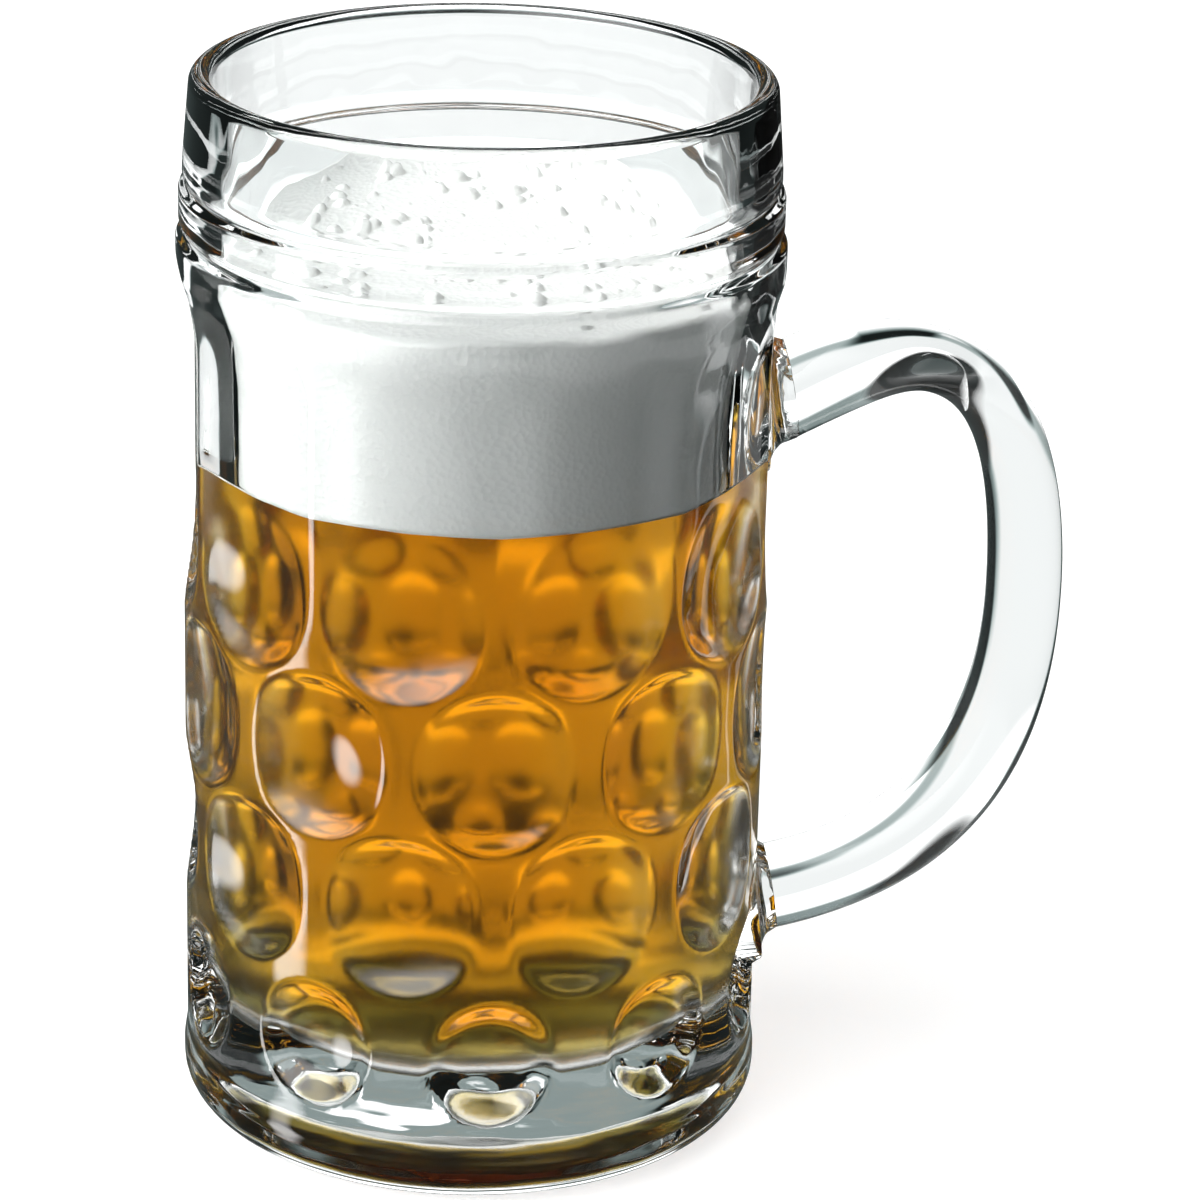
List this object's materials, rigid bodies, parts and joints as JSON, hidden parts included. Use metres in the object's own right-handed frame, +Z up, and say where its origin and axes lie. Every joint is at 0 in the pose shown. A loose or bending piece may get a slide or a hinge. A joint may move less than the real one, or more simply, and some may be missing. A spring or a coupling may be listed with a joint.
{
  "type": "dimpled beer mug",
  "caption": "Clear plastic dimpled beer mug with a ring handle, thick floor and banded lip, poured with amber beer under a white foam head.",
  "frame": {"origin": "centre of the foot ring, on the table", "axes": "+Z up along the mug's axis, +X towards the handle"},
  "size_m": [0.1661, 0.111, 0.2],
  "materials": {
    "clear_plastic": "polished",
    "beer": "polished",
    "foam": "matte"
  },
  "bodies": {
    "root": {"mug_body": "clear_plastic", "handle": "clear_plastic", "beer": "beer", "foam_head": "foam"}
  },
  "joints": []
}
